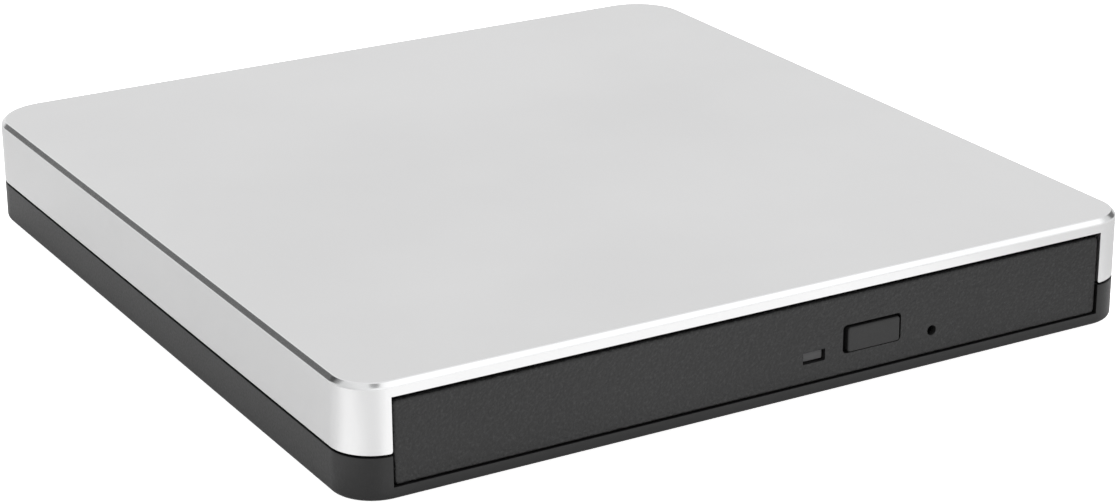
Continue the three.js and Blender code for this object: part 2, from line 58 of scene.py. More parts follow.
# ---------------------------------------------------------------- places, in metres, from the frame

cover_low, cover_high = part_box("top_cover")
base_low, base_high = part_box("base_shell")
bezel_low, bezel_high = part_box("bezel")
button_low, button_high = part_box("eject_button")
led_low, led_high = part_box("led_lens")
tray_low, tray_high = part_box("tray")
usb_low, usb_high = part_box("usb_socket_shell")
spindle_low, spindle_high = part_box("spindle_rotor")

# ---------------------------------------------------------------- case

FRONT_RADIUS = 7 * MM
REAR_RADIUS = 10 * MM
COVER_WALL = 1.5 * MM
COVER_TOP = 1.2 * MM
COVER_CHAMFER = 0.75 * MM
CHAMFER_BLEND = 0.2 * MM
BASE_FLOOR = 2 * MM
BASE_EDGE = 0.8 * MM
SEAM = 0.35 * MM
# The base's upstanding rim inside the cover, as insets from the case's outline.
SPIGOT_OUTSIDE = 1.7 * MM
SPIGOT_INSIDE = 2.7 * MM
SMALL_EDGE = 0.1 * MM
SLOT_HALF_WIDTH = bezel_high.x + 0.3 * MM
SLOT_TOP = bezel_high.z + 0.75 * MM
SLOT_BOTTOM = base_low.z + BASE_FLOOR
SLOT_FLARE = 0.5 * MM
FOOT_POCKET_RADIUS = 4.65 * MM
FOOT_POCKET_DEPTH = 0.6 * MM
SCREW_SINK_RADIUS = 2.3 * MM
SCREW_SINK_DEPTH = 2.1 * MM
USB_HOLE_RADIUS = 1.7 * MM
CORNER_STEPS = 24
EDGE_STEPS = 6

# ---------------------------------------------------------------- tray front; pairs are opposite corners

BEZEL_CORNER = 0.8 * MM
BEZEL_EDGE = 0.45 * MM
BEZEL_RIM = 0.8 * MM
BEZEL_STEP = 0.6 * MM
BEZEL_WALL = 1.4 * MM
BEZEL_PLATE = 1.6 * MM
BUTTON_HOLE = (Vector((14.0, 0, 6.7)) * MM, Vector((25.1, 0, 11.45)) * MM)
BUTTON_HOLE_CORNER = 0.7 * MM
BUTTON_CAP = (Vector((14.9, 0, 6.8)) * MM, Vector((24.8, 0, 10.95)) * MM)
BUTTON_CAP_CORNER = 0.5 * MM
BUTTON_EDGE = 0.3 * MM
BUTTON_FLANGE = 0.6 * MM
BUTTON_STEM = (Vector((18.4, 0, 7.2)) * MM, Vector((21.4, 0, 9.2)) * MM)
LED_HOLE = (led_low - Vector((0.25, 0, 0.2)) * MM, led_high + Vector((0.25, 0, 0.2)) * MM)
LED_HOLE_CORNER = 0.12 * MM
PINHOLE = Vector((31.2, 0, 7.1)) * MM
PINHOLE_RADIUS = 0.85 * MM

# ---------------------------------------------------------------- tray

SPINDLE = Vector(((spindle_low.x + spindle_high.x) / 2, (spindle_low.y + spindle_high.y) / 2, 0))
FEED_ANGLE = math.radians(135)
DECK_BOTTOM = 9.9 * MM
DECK_EDGE = 0.35 * MM
WELL_FLOOR = 11.1 * MM
DISC_WELL_RADIUS = 60.7 * MM
SMALL_DISC_RADIUS = 40.8 * MM
SCOOP_RADIUS = 9 * MM
SCOOP_REACH = 42 * MM
# Skirts and bosses go this far into the deck, so that they join it.
ROOT = 0.5 * MM
SKIRT_X = (57.4 * MM, 58.9 * MM)
SKIRT_Y = (-69.8 * MM, 52 * MM)
SKIRT_BOTTOM = 5.4 * MM
FLANGE_X = (58.5 * MM, 60.8 * MM)
FLANGE_Y = (-68 * MM, 50 * MM)
FLANGE_Z = (5.9 * MM, 8 * MM)
PLUNGER_STOP = ((46.2 * MM, 26 * MM, SKIRT_BOTTOM), (49.8 * MM, 27.5 * MM, DECK_BOTTOM + ROOT))
LATCH_PIN = (44 * MM, -44 * MM)
LATCH_PIN_RADIUS = 1.2 * MM
LATCH_PIN_BOTTOM = 5.2 * MM
# From here on, places on the traverse are drawn from the spindle with +Y along the feed.
OPTICS_OPENING = ((-19 * MM, -17 * MM), (19 * MM, 65.5 * MM))
OPTICS_CORNER = 5 * MM
TRAVERSE_BOSSES = ((-21.2 * MM, -15 * MM), (21.2 * MM, -15 * MM), (0, 68.5 * MM))
BOSS_RADIUS = 2.2 * MM
BOSS_BOTTOM = 8.25 * MM
BOSS_BORE_RADIUS = 0.95 * MM
BOSS_BORE_TOP = 9.7 * MM

# ---------------------------------------------------------------- spindle, optics and feed

HUB_RADIUS = 7.35 * MM
HUB_SHOULDER = 0.85 * MM
HUB_DISH_RADIUS = 2.5 * MM
HUB_DISH_DEPTH = 0.5 * MM
CLAW_POCKET = ((4.2 * MM, -1.7 * MM, 12.3 * MM), (9 * MM, 1.7 * MM, 13.6 * MM))
PAD_INSIDE = 8.6 * MM
PAD_RIBS = 8
PAD_RIB_DEPTH = 0.08 * MM
COVER_PLATE = ((-18.6 * MM, -16.6 * MM), (18.6 * MM, 65.1 * MM))
COVER_PLATE_CORNER = 4.6 * MM
SPINDLE_HOLE_RADIUS = 15 * MM
LENS_SLOT = ((-9 * MM, 5 * MM), (9 * MM, 63 * MM))
LENS_SLOT_CORNER = 3 * MM
FEED_SCREW_ACROSS = 19.9 * MM
FEED_SCREW_HEIGHT = 7.3 * MM
FEED_SCREW_RADIUS = 1.3 * MM
FEED_SCREW_LEAD = 3 * MM
FEED_SCREW_GROOVE = 0.28 * MM
FEED_SCREW_START = 6 * MM
FEED_SCREW_SHOULDER = 51.4 * MM
FEED_SCREW_END = 53.2 * MM
FEED_SCREW_TIP_RADIUS = 0.5 * MM
RIBBON_THICKNESS = 0.12 * MM
RIBBON_FOLD = 2.6 * MM
RIBBON_STUCK = 15 * MM
SPRING_WIRE = 0.18 * MM
SPRING_TURNS = 8

# ---------------------------------------------------------------- studio and camera

STUDIO_LEVEL = 0.92
FLOOR_GLOW = 0.95
# Cards lying on the table that only the metal mirrors: name, x range, y range, level.
TABLE_CARDS = (
    ("front_card", (-68, 70), (-330, -79), 1.19),
    ("corner_card", (-200, -80), (-90, -62), 1.18),
    ("left_card", (-400, -84), (-45, 400), 0.76),
    ("right_card", (88, 400), (-330, 200), 0.72),
)
# Each patch of the studio: direction, cosines where it starts and is full, and its level there.
STUDIO_PATCHES = (
    ("front_softbox", (0.5, -0.84, 0.1), 0.3, 0.9, 1.25),
    ("left_wall", (-0.92, 0.38, 0.0), 0.3, 0.85, 0.8),
    ("right_wall", (0.98, -0.1, 0.0), 0.55, 0.9, 0.75),
    ("dark_card_back", (-0.36, 0.81, 0.47), 0.94, 0.97, 0.2),
    ("dark_card_middle", (-0.47, 0.62, 0.63), 0.96, 0.98, 0.4),
    ("dark_card_right", (0.90, 0.28, 0.31), 0.955, 0.985, 0.25),
    ("above_front", (0.47, -0.36, 0.81), 0.9, 0.97, 1.2),
    ("dark_spot_above", (-0.08, -0.36, 0.93), 0.985, 0.996, 0.35),
)

CAMERA_AZIMUTH = math.radians(-29.975)
CAMERA_ELEVATION = math.radians(20.905)
CAMERA_ROLL = math.radians(-0.376)
CAMERA_DISTANCE = 0.51226
CAMERA_ACROSS = 5.068 * MM
CAMERA_RISE = -8.241 * MM
CAMERA_LENS = 94.91

# ---------------------------------------------------------------- mesh helpers


def new_object(name, verts, faces):
    mesh = bpy.data.meshes.new(name)
    mesh.from_pydata([tuple(v) for v in verts], [], faces)
    mesh.validate()
    obj = bpy.data.objects.new(name, mesh)
    bpy.context.scene.collection.objects.link(obj)
    return obj


def tidy_normals(obj):
    """Makes every face point outwards."""
    work = bmesh.new()
    work.from_mesh(obj.data)
    bmesh.ops.recalc_face_normals(work, faces=work.faces)
    work.to_mesh(obj.data)
    work.free()
    return obj


def outline(low, high, front_radius, rear_radius, inset=0.0, steps=CORNER_STEPS):
    """Points round a rectangle with rounded corners, moved inwards by inset, as (across, along)."""
    corners = (
        (high[0], low[1], front_radius, -90),
        (high[0], high[1], rear_radius, 0),
        (low[0], high[1], rear_radius, 90),
        (low[0], low[1], front_radius, 180),
    )
    points = []
    for across, along, radius, start in corners:
        centre_across = across - math.copysign(radius, across - (low[0] + high[0]) / 2)
        centre_along = along - math.copysign(radius, along - (low[1] + high[1]) / 2)
        reach = radius - inset
        for step in range(steps + 1):
            angle = math.radians(start + 90 * step / steps)
            points.append((centre_across + reach * math.cos(angle), centre_along + reach * math.sin(angle)))
    return points


def bands(ring_count, count):
    """The four-sided faces between rings of count points each."""
    faces = []
    for start in range(0, (ring_count - 1) * count, count):
        for i in range(count):
            j = (i + 1) % count
            faces.append([start + i, start + j, start + count + j, start + count + i])
    return faces


def loft(name, rings):
    """One closed solid through rings of equal point count, with its first and last ring capped."""
    count = len(rings[0])
    verts = [point for ring in rings for point in ring]
    faces = [list(range(count))[::-1]]
    faces += bands(len(rings), count)
    faces.append([(len(rings) - 1) * count + i for i in range(count)])
    return tidy_normals(new_object(name, verts, faces))


def case_ring(inset, height):
    """The case's outline at one height, moved inwards by inset."""
    points = outline(cover_low, cover_high, FRONT_RADIUS, REAR_RADIUS, inset)
    return [(x, y, height) for x, y in points]


def quarter_round(size, steps=EDGE_STEPS):
    """(inset, drop) pairs for a rounded edge, from the face it starts on to the face it ends on."""
    turn = [math.pi / 2 * step / steps for step in range(steps + 1)]
    return [(size * (1 - math.cos(a)), size * (1 - math.sin(a))) for a in turn]


def chamfer_profile(size, blend, steps=4):
    """(inset, drop) pairs for a flat chamfer whose two rims are blended into the faces beside it."""
    lean = blend * math.sqrt(0.5)

    def bend(start, corner, end):
        points = []
        for step in range(steps + 1):
            t = step / steps
            inset, drop = ((1 - t) ** 2 * start[axis] + 2 * t * (1 - t) * corner[axis] + t ** 2 * end[axis]
                           for axis in (0, 1))
            points.append((inset, drop))
        return points

    lower = bend((0, size + blend), (0, size), (lean, size - lean))
    upper = bend((size - lean, lean), (size, 0), (size + blend, 0))
    return lower + upper


def front_ring(low, high, radius, inset, depth, steps=8):
    """A rounded rectangle in X and Z at one depth along Y."""
    points = outline((low.x, low.z), (high.x, high.z), radius, radius, inset, steps)
    return [(x, depth, z) for x, z in points]


def block(name, low, high):
    """A plain box between two corners."""
    points = [(low[0], low[1]), (high[0], low[1]), (high[0], high[1]), (low[0], high[1])]
    return loft(name, [[(x, y, z) for x, y in points] for z in (low[2], high[2])])


def prism_back(name, points, low_y, high_y):
    """A solid with an (x, z) outline, going back from low_y to high_y."""
    return loft(name, [[(x, y, z) for x, z in points] for y in (low_y, high_y)])


def rounded_prism(name, low, high, radius, low_y, high_y):
    """A solid whose front is the (x, z) box from low to high with rounded corners."""
    return loft(name, [front_ring(low, high, radius, 0, y) for y in (low_y, high_y)])


def round_bar(name, centre, axis, radius, length, sides=48):
    """A round cutter or pin centred at centre."""
    turn = Vector((0, 0, 1)).rotation_difference(Vector(axis)).to_matrix()
    angles = [2 * math.pi * i / sides for i in range(sides)]
    rings = []
    for end in (-length / 2, length / 2):
        spokes = [Vector((radius * math.cos(a), radius * math.sin(a), end)) for a in angles]
        rings.append([Vector(centre) + turn @ spoke for spoke in spokes])
    return loft(name, rings)


def turned(name, centre, profile, sides=96):
    """A solid lathed round an upright axis from (radius, height) points, closed where they meet."""
    verts = []
    for radius, height in profile:
        for i in range(sides):
            angle = 2 * math.pi * i / sides
            spoke = Vector((radius * math.cos(angle), radius * math.sin(angle), height))
            verts.append(Vector(centre) + spoke)
    obj = new_object(name, verts, bands(len(profile), sides))
    work = bmesh.new()
    work.from_mesh(obj.data)
    bmesh.ops.remove_doubles(work, verts=work.verts, dist=1e-7)
    bmesh.ops.recalc_face_normals(work, faces=work.faces)
    work.to_mesh(obj.data)
    work.free()
    return obj


def settle(obj):
    """Applies the modifiers, so that the final mesh is what rides on its body."""
    bpy.context.view_layer.update()
    evaluated = obj.evaluated_get(bpy.context.evaluated_depsgraph_get())
    mesh = bpy.data.meshes.new_from_object(evaluated)
    obj.modifiers.clear()
    obj.data = mesh
    return obj


def carve(obj, cutters, operation="DIFFERENCE"):
    """Cuts the other solids out of obj, or joins them to it, and uses them up."""
    for cutter in cutters:
        change = obj.modifiers.new("carve", "BOOLEAN")
        change.operation = operation
        change.solver = "EXACT"
        change.object = cutter
    settle(obj)
    for cutter in cutters:
        bpy.data.objects.remove(cutter)
    return obj


def soften(obj, width):
    """Rounds the sharp edges and shades the rest smoothly."""
    obj.data.shade_smooth()
    rounding = obj.modifiers.new("round", "BEVEL")
    rounding.width = width
    rounding.segments = 2
    rounding.limit_method = "ANGLE"
    rounding.angle_limit = math.radians(50)
    rounding.miter_outer = "MITER_ARC"
    rounding.face_strength_mode = "FSTR_AFFECTED"
    even = obj.modifiers.new("even", "WEIGHTED_NORMAL")
    even.keep_sharp = True
    even.use_face_influence = True
    return settle(obj)


def dress(obj, body, material, *nodes, slot=None):
    """Gives a piece its material and body, and hides the CAD nodes that it stands for."""
    obj.data.materials.clear()
    obj.data.materials.append(material)
    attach(obj, body)
    if nodes:
        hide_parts(*nodes)
    return obj


# ---------------------------------------------------------------- material helpers


# A mix node has a socket of each name for every kind of value; these are its colour ones.
COLOR_A = 6
COLOR_B = 7
COLOR_RESULT = 2


class Nodes:
    """A short way to build one node material."""

    def __init__(self, name):
        self.material = bpy.data.materials.new(name)
        self.material.use_nodes = True
        self.tree = self.material.node_tree
        self.surface = self.tree.nodes["Principled BSDF"]

    def add(self, kind, **values):
        node = self.tree.nodes.new(kind)
        for key, value in values.items():
            if key in node.inputs:
                node.inputs[key].default_value = value
            else:
                setattr(node, key, value)
        return node

    def link(self, source, target):
        self.tree.links.new(source, target)

    def set(self, **values):
        for key, value in values.items():
            self.surface.inputs[key.replace("_", " ")].default_value = value

    def place(self):
        """Positions in metres, in the piece's own frame at rest."""
        return self.add("ShaderNodeTexCoord").outputs["Object"]

    def noise(self, scale, detail=2.0, roughness=0.5, stretch=None):
        source = self.place()
        if stretch:
            mapping = self.add("ShaderNodeMapping", Scale=stretch)
            self.link(source, mapping.inputs["Vector"])
            source = mapping.outputs["Vector"]
        node = self.add("ShaderNodeTexNoise", Scale=scale, Detail=detail, Roughness=roughness)
        self.link(source, node.inputs["Vector"])
        return node.outputs["Fac"]

    def spread(self, source, low, high, to_low, to_high):
        node = self.add("ShaderNodeMapRange")
        for name, value in (("From Min", low), ("From Max", high), ("To Min", to_low), ("To Max", to_high)):
            node.inputs[name].default_value = value
        self.link(source, node.inputs["Value"])
        return node.outputs["Result"]

    def mix(self, factor, dark, light):
        node = self.add("ShaderNodeMix", data_type="RGBA")
        self.link(factor, node.inputs["Factor"])
        node.inputs[COLOR_A].default_value = (*dark, 1)
        node.inputs[COLOR_B].default_value = (*light, 1)
        return node.outputs[COLOR_RESULT]

    def bump(self, height, distance, after=None):
        node = self.add("ShaderNodeBump", Distance=distance)
        self.link(height, node.inputs["Height"])
        if after:
            self.link(after, node.inputs["Normal"])
        return node.outputs["Normal"]

    def finish(self, color=None, roughness=None, normal=None):
        for source, target in ((color, "Base Color"), (roughness, "Roughness"), (normal, "Normal")):
            if source:
                self.link(source, self.surface.inputs[target])
        return self.material


def grained(name, dark, light, rough_low, rough_high, grain_scale, grain_depth, metallic=0.0,
            patch_scale=40.0, stretch=None, specular=0.5):
    """A surface with slow colour and roughness variation and a fine bump."""
    nodes = Nodes(name)
    nodes.set(Metallic=metallic, Specular_IOR_Level=specular)
    slow = nodes.noise(patch_scale, 3.0)
    fine = nodes.noise(grain_scale, 2.0, 0.6, stretch)
    color = nodes.mix(nodes.spread(slow, 0.35, 0.65, 0, 1), dark, light)
    roughness = nodes.spread(fine, 0.3, 0.7, rough_low, rough_high)
    return nodes.finish(color, roughness, nodes.bump(fine, grain_depth))


def pebbled(name, dark, light, painted_sheen, roughness, cell_scale, depth):
    """Moulded plastic with a pebble texture: rounded cells of uneven size, with pale specks of painted
    sheen that stand for light caught on the pebbles' tops.
    """
    nodes = Nodes(name)
    nodes.set(Specular_IOR_Level=0.44)
    cells = nodes.add("ShaderNodeTexVoronoi", feature="SMOOTH_F1", Scale=cell_scale, Smoothness=0.6)
    nodes.link(nodes.place(), cells.inputs["Vector"])
    pebbles = nodes.bump(cells.outputs["Distance"], depth)
    fine = nodes.bump(nodes.noise(cell_scale * 2.5, 3.0), depth * 0.5, after=pebbles)
    slow = nodes.mix(nodes.spread(nodes.noise(60.0, 3.0), 0.3, 0.7, 0, 1), dark, light)
    # Painted sheen: pale specks mixed into the colour where light would catch the pebbles' tops.
    sheen_specks = nodes.add("ShaderNodeMix", data_type="RGBA")
    nodes.link(nodes.spread(nodes.noise(cell_scale, 2.0, 0.7), 0.5, 0.72, 0, 1), sheen_specks.inputs["Factor"])
    nodes.link(slow, sheen_specks.inputs[COLOR_A])
    sheen_specks.inputs[COLOR_B].default_value = (*painted_sheen, 1)
    wear = nodes.spread(nodes.noise(30.0, 2.0), 0.3, 0.7, roughness - 0.05, roughness + 0.05)
    return nodes.finish(sheen_specks.outputs[COLOR_RESULT], wear, fine)


def circuit_board(name):
    """Solder mask with faint copper tracks under it."""
    nodes = Nodes(name)
    nodes.set(Coat_Weight=0.4, Coat_Roughness=0.2)
    tracks = nodes.add("ShaderNodeTexBrick", Scale=320.0)
    nodes.link(nodes.place(), tracks.inputs["Vector"])
    tracks.inputs["Mortar Size"].default_value = 0.03
    color = nodes.mix(tracks.outputs["Fac"], (0.008, 0.075, 0.035), (0.02, 0.14, 0.07))
    return nodes.finish(color, nodes.spread(nodes.noise(900.0), 0.3, 0.7, 0.35, 0.5))


def clear_moulding(name, color, roughness):
    """A cloudy clear plastic that lets some light through."""
    nodes = Nodes(name)
    nodes.set(Transmission_Weight=0.35, IOR=1.49)
    paler = tuple(channel * 1.15 for channel in color)
    tint = nodes.mix(nodes.spread(nodes.noise(900.0), 0.3, 0.7, 0, 1), color, paler)
    return nodes.finish(tint, nodes.spread(nodes.noise(2500.0), 0.3, 0.7, roughness, roughness + 0.1))


def coated_glass(name):
    """The objective's lens: clear with a blue-violet coating that strengthens at grazing angles."""
    nodes = Nodes(name)
    nodes.set(Transmission_Weight=0.85, IOR=1.55, Coat_Weight=1.0, Coat_Roughness=0.02)
    facing = nodes.add("ShaderNodeLayerWeight", Blend=0.4).outputs["Facing"]
    color = nodes.mix(facing, (0.55, 0.62, 0.95), (0.75, 0.45, 0.85))
    return nodes.finish(color, nodes.spread(nodes.noise(500.0), 0.3, 0.7, 0.02, 0.05))


satin_cover = grained("satin_cover", (0.735, 0.735, 0.737), (0.765, 0.765, 0.767), 0.34, 0.42,
                      5200.0, 0.000012, 1.0, 18.0)
polished_edge = grained("polished_edge", (0.80, 0.805, 0.81), (0.83, 0.835, 0.84), 0.13, 0.2,
                        900.0, 0.000004, 1.0)
base_plastic = grained("base_plastic", (0.0055, 0.0055, 0.0057), (0.0075, 0.0075, 0.0077), 0.36, 0.46,
                       2600.0, 0.00002, specular=0.45)
# The third colour is painted sheen, for light caught on the pebbles' tops.
bezel_plastic = pebbled("bezel_plastic", (0.007, 0.007, 0.0072), (0.0095, 0.0095, 0.0098),
                        (0.024, 0.024, 0.0245), 0.5, 1900.0, 0.00012)
button_plastic = grained("button_plastic", (0.009, 0.009, 0.0092), (0.011, 0.011, 0.0112), 0.44, 0.54,
                         3000.0, 0.00002, specular=0.44)
window_plastic = clear_moulding("window_plastic", (0.066, 0.066, 0.068), 0.4)
foot_rubber = grained("foot_rubber", (0.014, 0.014, 0.014), (0.022, 0.022, 0.022), 0.75, 0.9,
                      2200.0, 0.00004)
screw_steel = grained("screw_steel", (0.34, 0.34, 0.35), (0.46, 0.46, 0.47), 0.25, 0.4,
                      1500.0, 0.00001, 1.0)
drive_sheet = grained("drive_sheet", (0.52, 0.53, 0.54), (0.60, 0.61, 0.62), 0.26, 0.42,
                      700.0, 0.000008, 1.0, 60.0, (1.0, 0.06, 1.0))
rail_steel = grained("rail_steel", (0.42, 0.43, 0.44), (0.52, 0.53, 0.54), 0.2, 0.34,
                     1800.0, 0.000008, 1.0, 50.0, (1.0, 0.03, 1.0))
bright_steel = grained("bright_steel", (0.72, 0.73, 0.75), (0.78, 0.79, 0.8), 0.08, 0.16,
                       1200.0, 0.000003, 1.0)
tray_plastic = grained("tray_plastic", (0.027, 0.028, 0.030), (0.036, 0.037, 0.040), 0.46, 0.6,
                       3200.0, 0.00004)
cast_zinc = grained("cast_zinc", (0.42, 0.43, 0.45), (0.52, 0.53, 0.55), 0.38, 0.55, 1700.0, 0.00003, 1.0)
chip_epoxy = grained("chip_epoxy", (0.016, 0.016, 0.018), (0.022, 0.022, 0.024), 0.5, 0.65,
                     4000.0, 0.00002)
connector_nylon = grained("connector_nylon", (0.015, 0.015, 0.015), (0.021, 0.021, 0.022), 0.45, 0.6,
                          2500.0, 0.00002)
flex_film = grained("flex_film", (0.36, 0.14, 0.02), (0.48, 0.21, 0.04), 0.2, 0.32, 700.0, 0.000004)
screw_brass = grained("screw_brass", (0.56, 0.40, 0.15), (0.66, 0.50, 0.22), 0.18, 0.3,
                      1400.0, 0.00001, 1.0)
led_body = clear_moulding("led_body", (0.5, 0.51, 0.5), 0.15)
board_mask = circuit_board("board_mask")
lens_glass = coated_glass("lens_glass")

CAD_FINISHES = {
    "cover_aluminium": satin_cover,
    "base_plastic": base_plastic,
    "bezel_plastic": bezel_plastic,
    "button_plastic": button_plastic,
    "soft_rubber": foot_rubber,
    "screw_steel": screw_steel,
    "drive_sheet": drive_sheet,
    "rail_steel": rail_steel,
    "bright_steel": bright_steel,
    "tray_plastic": tray_plastic,
    "cast_zinc": cast_zinc,
    "board_green": board_mask,
    "chip_black": chip_epoxy,
    "connector_black": connector_nylon,
    "clear_plastic": led_body,
    "flex_amber": flex_film,
    "screw_brass": screw_brass,
    "lens_glass": lens_glass,
}

# ---------------------------------------------------------------- case


def make_top_cover():
    """The metal cover: hollow below, chamfered round its top and open over the tray's slot."""
    wall_low = cover_low.z
    wall_high = cover_high.z
    rings = [
        case_ring(COVER_WALL, wall_high - COVER_TOP),
        case_ring(COVER_WALL, wall_low),
        case_ring(SMALL_EDGE, wall_low),
        case_ring(0, wall_low + SMALL_EDGE),
    ]
    for inset, drop in chamfer_profile(COVER_CHAMFER, CHAMFER_BLEND):
        rings.append(case_ring(inset, wall_high - drop))
    cover = loft("top_cover_shell", rings)
    right_side = [(SLOT_HALF_WIDTH, SLOT_TOP)]
    right_side += [(SLOT_HALF_WIDTH + inset, wall_low + drop) for inset, drop in quarter_round(SLOT_FLARE)]
    right_side.append((SLOT_HALF_WIDTH + SLOT_FLARE, 0))
    points = right_side + [(-x, z) for x, z in right_side[::-1]]
    carve(cover, [prism_back("slot_cutter", points, cover_low.y - 2 * MM, cover_low.y + 3 * MM)])
    soften(cover, SMALL_EDGE)
    dress(cover, "case", satin_cover, "top_cover", slot="cover_aluminium")
    cover.data.materials.append(polished_edge)
    for face in cover.data.polygons:
        above_wall = face.center.z > wall_high - COVER_CHAMFER - CHAMFER_BLEND
        if above_wall and 0.1 < face.normal.z < 0.99:
            face.material_index = 1
    return cover


def make_base_shell():
    """The plastic base: a dish with the slot's lip, and pockets for feet, screws and the USB socket."""
    bottom = base_low.z
    wall_top = cover_low.z - SEAM
    rings = [case_ring(inset, bottom + rise) for inset, rise in quarter_round(BASE_EDGE)[::-1]]
    rings += [
        case_ring(0, wall_top - SMALL_EDGE),
        case_ring(SMALL_EDGE, wall_top),
        case_ring(SPIGOT_OUTSIDE, wall_top),
        case_ring(SPIGOT_OUTSIDE, base_high.z),
        case_ring(SPIGOT_INSIDE, base_high.z),
        case_ring(SPIGOT_INSIDE, bottom + BASE_FLOOR),
    ]
    base = loft("base_body", rings)
    cutters = [prism_back("slot_cutter", [
        (SLOT_HALF_WIDTH, SLOT_BOTTOM), (SLOT_HALF_WIDTH, SLOT_TOP),
        (-SLOT_HALF_WIDTH, SLOT_TOP), (-SLOT_HALF_WIDTH, SLOT_BOTTOM),
    ], base_low.y - 2 * MM, base_low.y + 4 * MM)]
    for node in frame["nodes"]:
        low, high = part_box(node)
        centre = (low + high) / 2
        if node.startswith("foot_"):
            place = (centre.x, centre.y, bottom)
            cutters.append(round_bar("pocket", place, (0, 0, 1), FOOT_POCKET_RADIUS, 2 * FOOT_POCKET_DEPTH))
        if node.startswith("case_screw_"):
            place = (centre.x, centre.y, bottom)
            cutters.append(round_bar("sink", place, (0, 0, 1), SCREW_SINK_RADIUS, 2 * SCREW_SINK_DEPTH))
    room = Vector((0.3, 0, 0.2)) * MM
    cutters.append(rounded_prism("usb_hole", usb_low - room, usb_high + room, USB_HOLE_RADIUS,
                                 base_high.y - 4 * MM, base_high.y + MM))
    carve(base, cutters)
    soften(base, SMALL_EDGE)
    return dress(base, "case", base_plastic, "base_shell", slot="base_plastic")


def make_feet_and_screws():
    """Rubber feet with a shallow dish and a rounded rim, and the four screws that hold the case."""
    dish, rim, round_size = 0.12 * MM, 1.6 * MM, 0.45 * MM
    for node in sorted(frame["nodes"]):
        low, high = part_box(node)
        centre = ((low.x + high.x) / 2, (low.y + high.y) / 2, 0)
        if node.startswith("foot_"):
            radius, top = (high.x - low.x) / 2, high.z
            profile = [(0, dish), (radius - rim, dish), (radius - rim + 0.3 * MM, 0)]
            profile += [(radius - inset, drop) for inset, drop in quarter_round(round_size)[::-1]]
            profile += [(radius, top), (0, top)]
            foot = turned(f"{node}_pad", centre, profile, 64)
            dress(soften(foot, 0.04 * MM), "case", foot_rubber, node, slot="soft_rubber")
        if node.startswith("case_screw_"):
            screw = make_screw(f"{node}_body", centre, low.z, high.z, (high.x - low.x) / 2)
            dress(screw, "case", screw_steel, node, slot="screw_steel")


def make_screw(name, centre, head_z, tip_z, head_radius):
    """A screw with its domed, cross-recessed head at head_z and its shank going up to tip_z."""
    dome, head_height, shank_radius, point = 0.35 * MM, 1.4 * MM, 0.85 * MM, 0.5 * MM
    profile = [(0, 0)]
    for step in range(6):
        angle = math.pi / 2 * (0.2 + 0.8 * step / 5)
        inset = dome * 0.6 * (1 - math.sin(angle))
        profile.append((head_radius - inset, dome * 0.9 * (1 - math.cos(angle))))
    length = tip_z - head_z
    profile += [(head_radius, head_height), (shank_radius, head_height)]
    profile += [(shank_radius, length - point), (0, length)]
    screw = turned(name, (centre[0], centre[1], head_z), profile, 48)
    arm, width, depth = head_radius * 0.62, head_radius * 0.2, 0.9 * MM
    cross = []
    for half_x, half_y in ((arm, width), (width, arm)):
        low = (centre[0] - half_x, centre[1] - half_y, head_z - MM)
        high = (centre[0] + half_x, centre[1] + half_y, head_z + depth)
        cross.append(block("recess", low, high))
    carve(screw, cross)
    return soften(screw, 0.05 * MM)


def make_usb_socket():
    """The socket's drawn steel shell, open to the rear, and the tongue inside it."""
    wall, radius, rim, tip = 0.3 * MM, 1.55 * MM, 0.1 * MM, 0.15 * MM
    mouth = usb_high.y
    shell = loft("usb_shell", [
        front_ring(usb_low, usb_high, radius, inset, depth, 10)
        for inset, depth in ((0, usb_low.y), (0, mouth - rim), (rim, mouth), (wall - rim, mouth),
                             (wall, mouth - rim), (wall, usb_low.y + MM))
    ])
    shell.data.shade_smooth()
    dress(soften(shell, 0.03 * MM), "case", bright_steel, "usb_socket_shell", slot="bright_steel")
    low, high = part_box("usb_socket_tongue")
    tongue = loft("usb_tongue", [
        front_ring(low, high, 0.3 * MM, inset, depth, 6)
        for inset, depth in ((0, low.y), (0, high.y - tip), (tip, high.y))
    ])
    dress(soften(tongue, 0.03 * MM), "case", connector_nylon, "usb_socket_tongue", slot="connector_black")


# ---------------------------------------------------------------- tray front


def make_bezel():
    """The textured tray front: a hollow-backed plate with a stepped rim and its three holes."""
    face, back = bezel_low.y, bezel_high.y
    rings = [front_ring(bezel_low, bezel_high, BEZEL_CORNER, inset, face + drop)
             for inset, drop in quarter_round(BEZEL_EDGE)[::-1]]
    step_back = BEZEL_RIM + 0.1 * MM
    rings += [front_ring(bezel_low, bezel_high, BEZEL_CORNER, inset, face + depth)
              for inset, depth in ((0, BEZEL_RIM), (BEZEL_STEP, step_back), (BEZEL_STEP, back - face))]
    wall = Vector((BEZEL_WALL, 0, BEZEL_WALL))
    rings += [front_ring(bezel_low + wall, bezel_high - wall, 0.3 * MM, 0, depth)
              for depth in (back, face + BEZEL_PLATE)]
    bezel = loft("bezel_front", rings)
    cut_low, cut_high = face - MM, back + MM
    pin_centre = (PINHOLE.x, (cut_low + cut_high) / 2, PINHOLE.z)
    carve(bezel, [
        rounded_prism("button_cutter", *BUTTON_HOLE, BUTTON_HOLE_CORNER, cut_low, cut_high),
        rounded_prism("led_cutter", *LED_HOLE, LED_HOLE_CORNER, cut_low, cut_high),
        round_bar("pin_cutter", pin_centre, (0, 1, 0), PINHOLE_RADIUS, cut_high - cut_low),
    ])
    soften(bezel, 0.08 * MM)
    return dress(bezel, "tray", bezel_plastic, "bezel", slot="bezel_plastic")


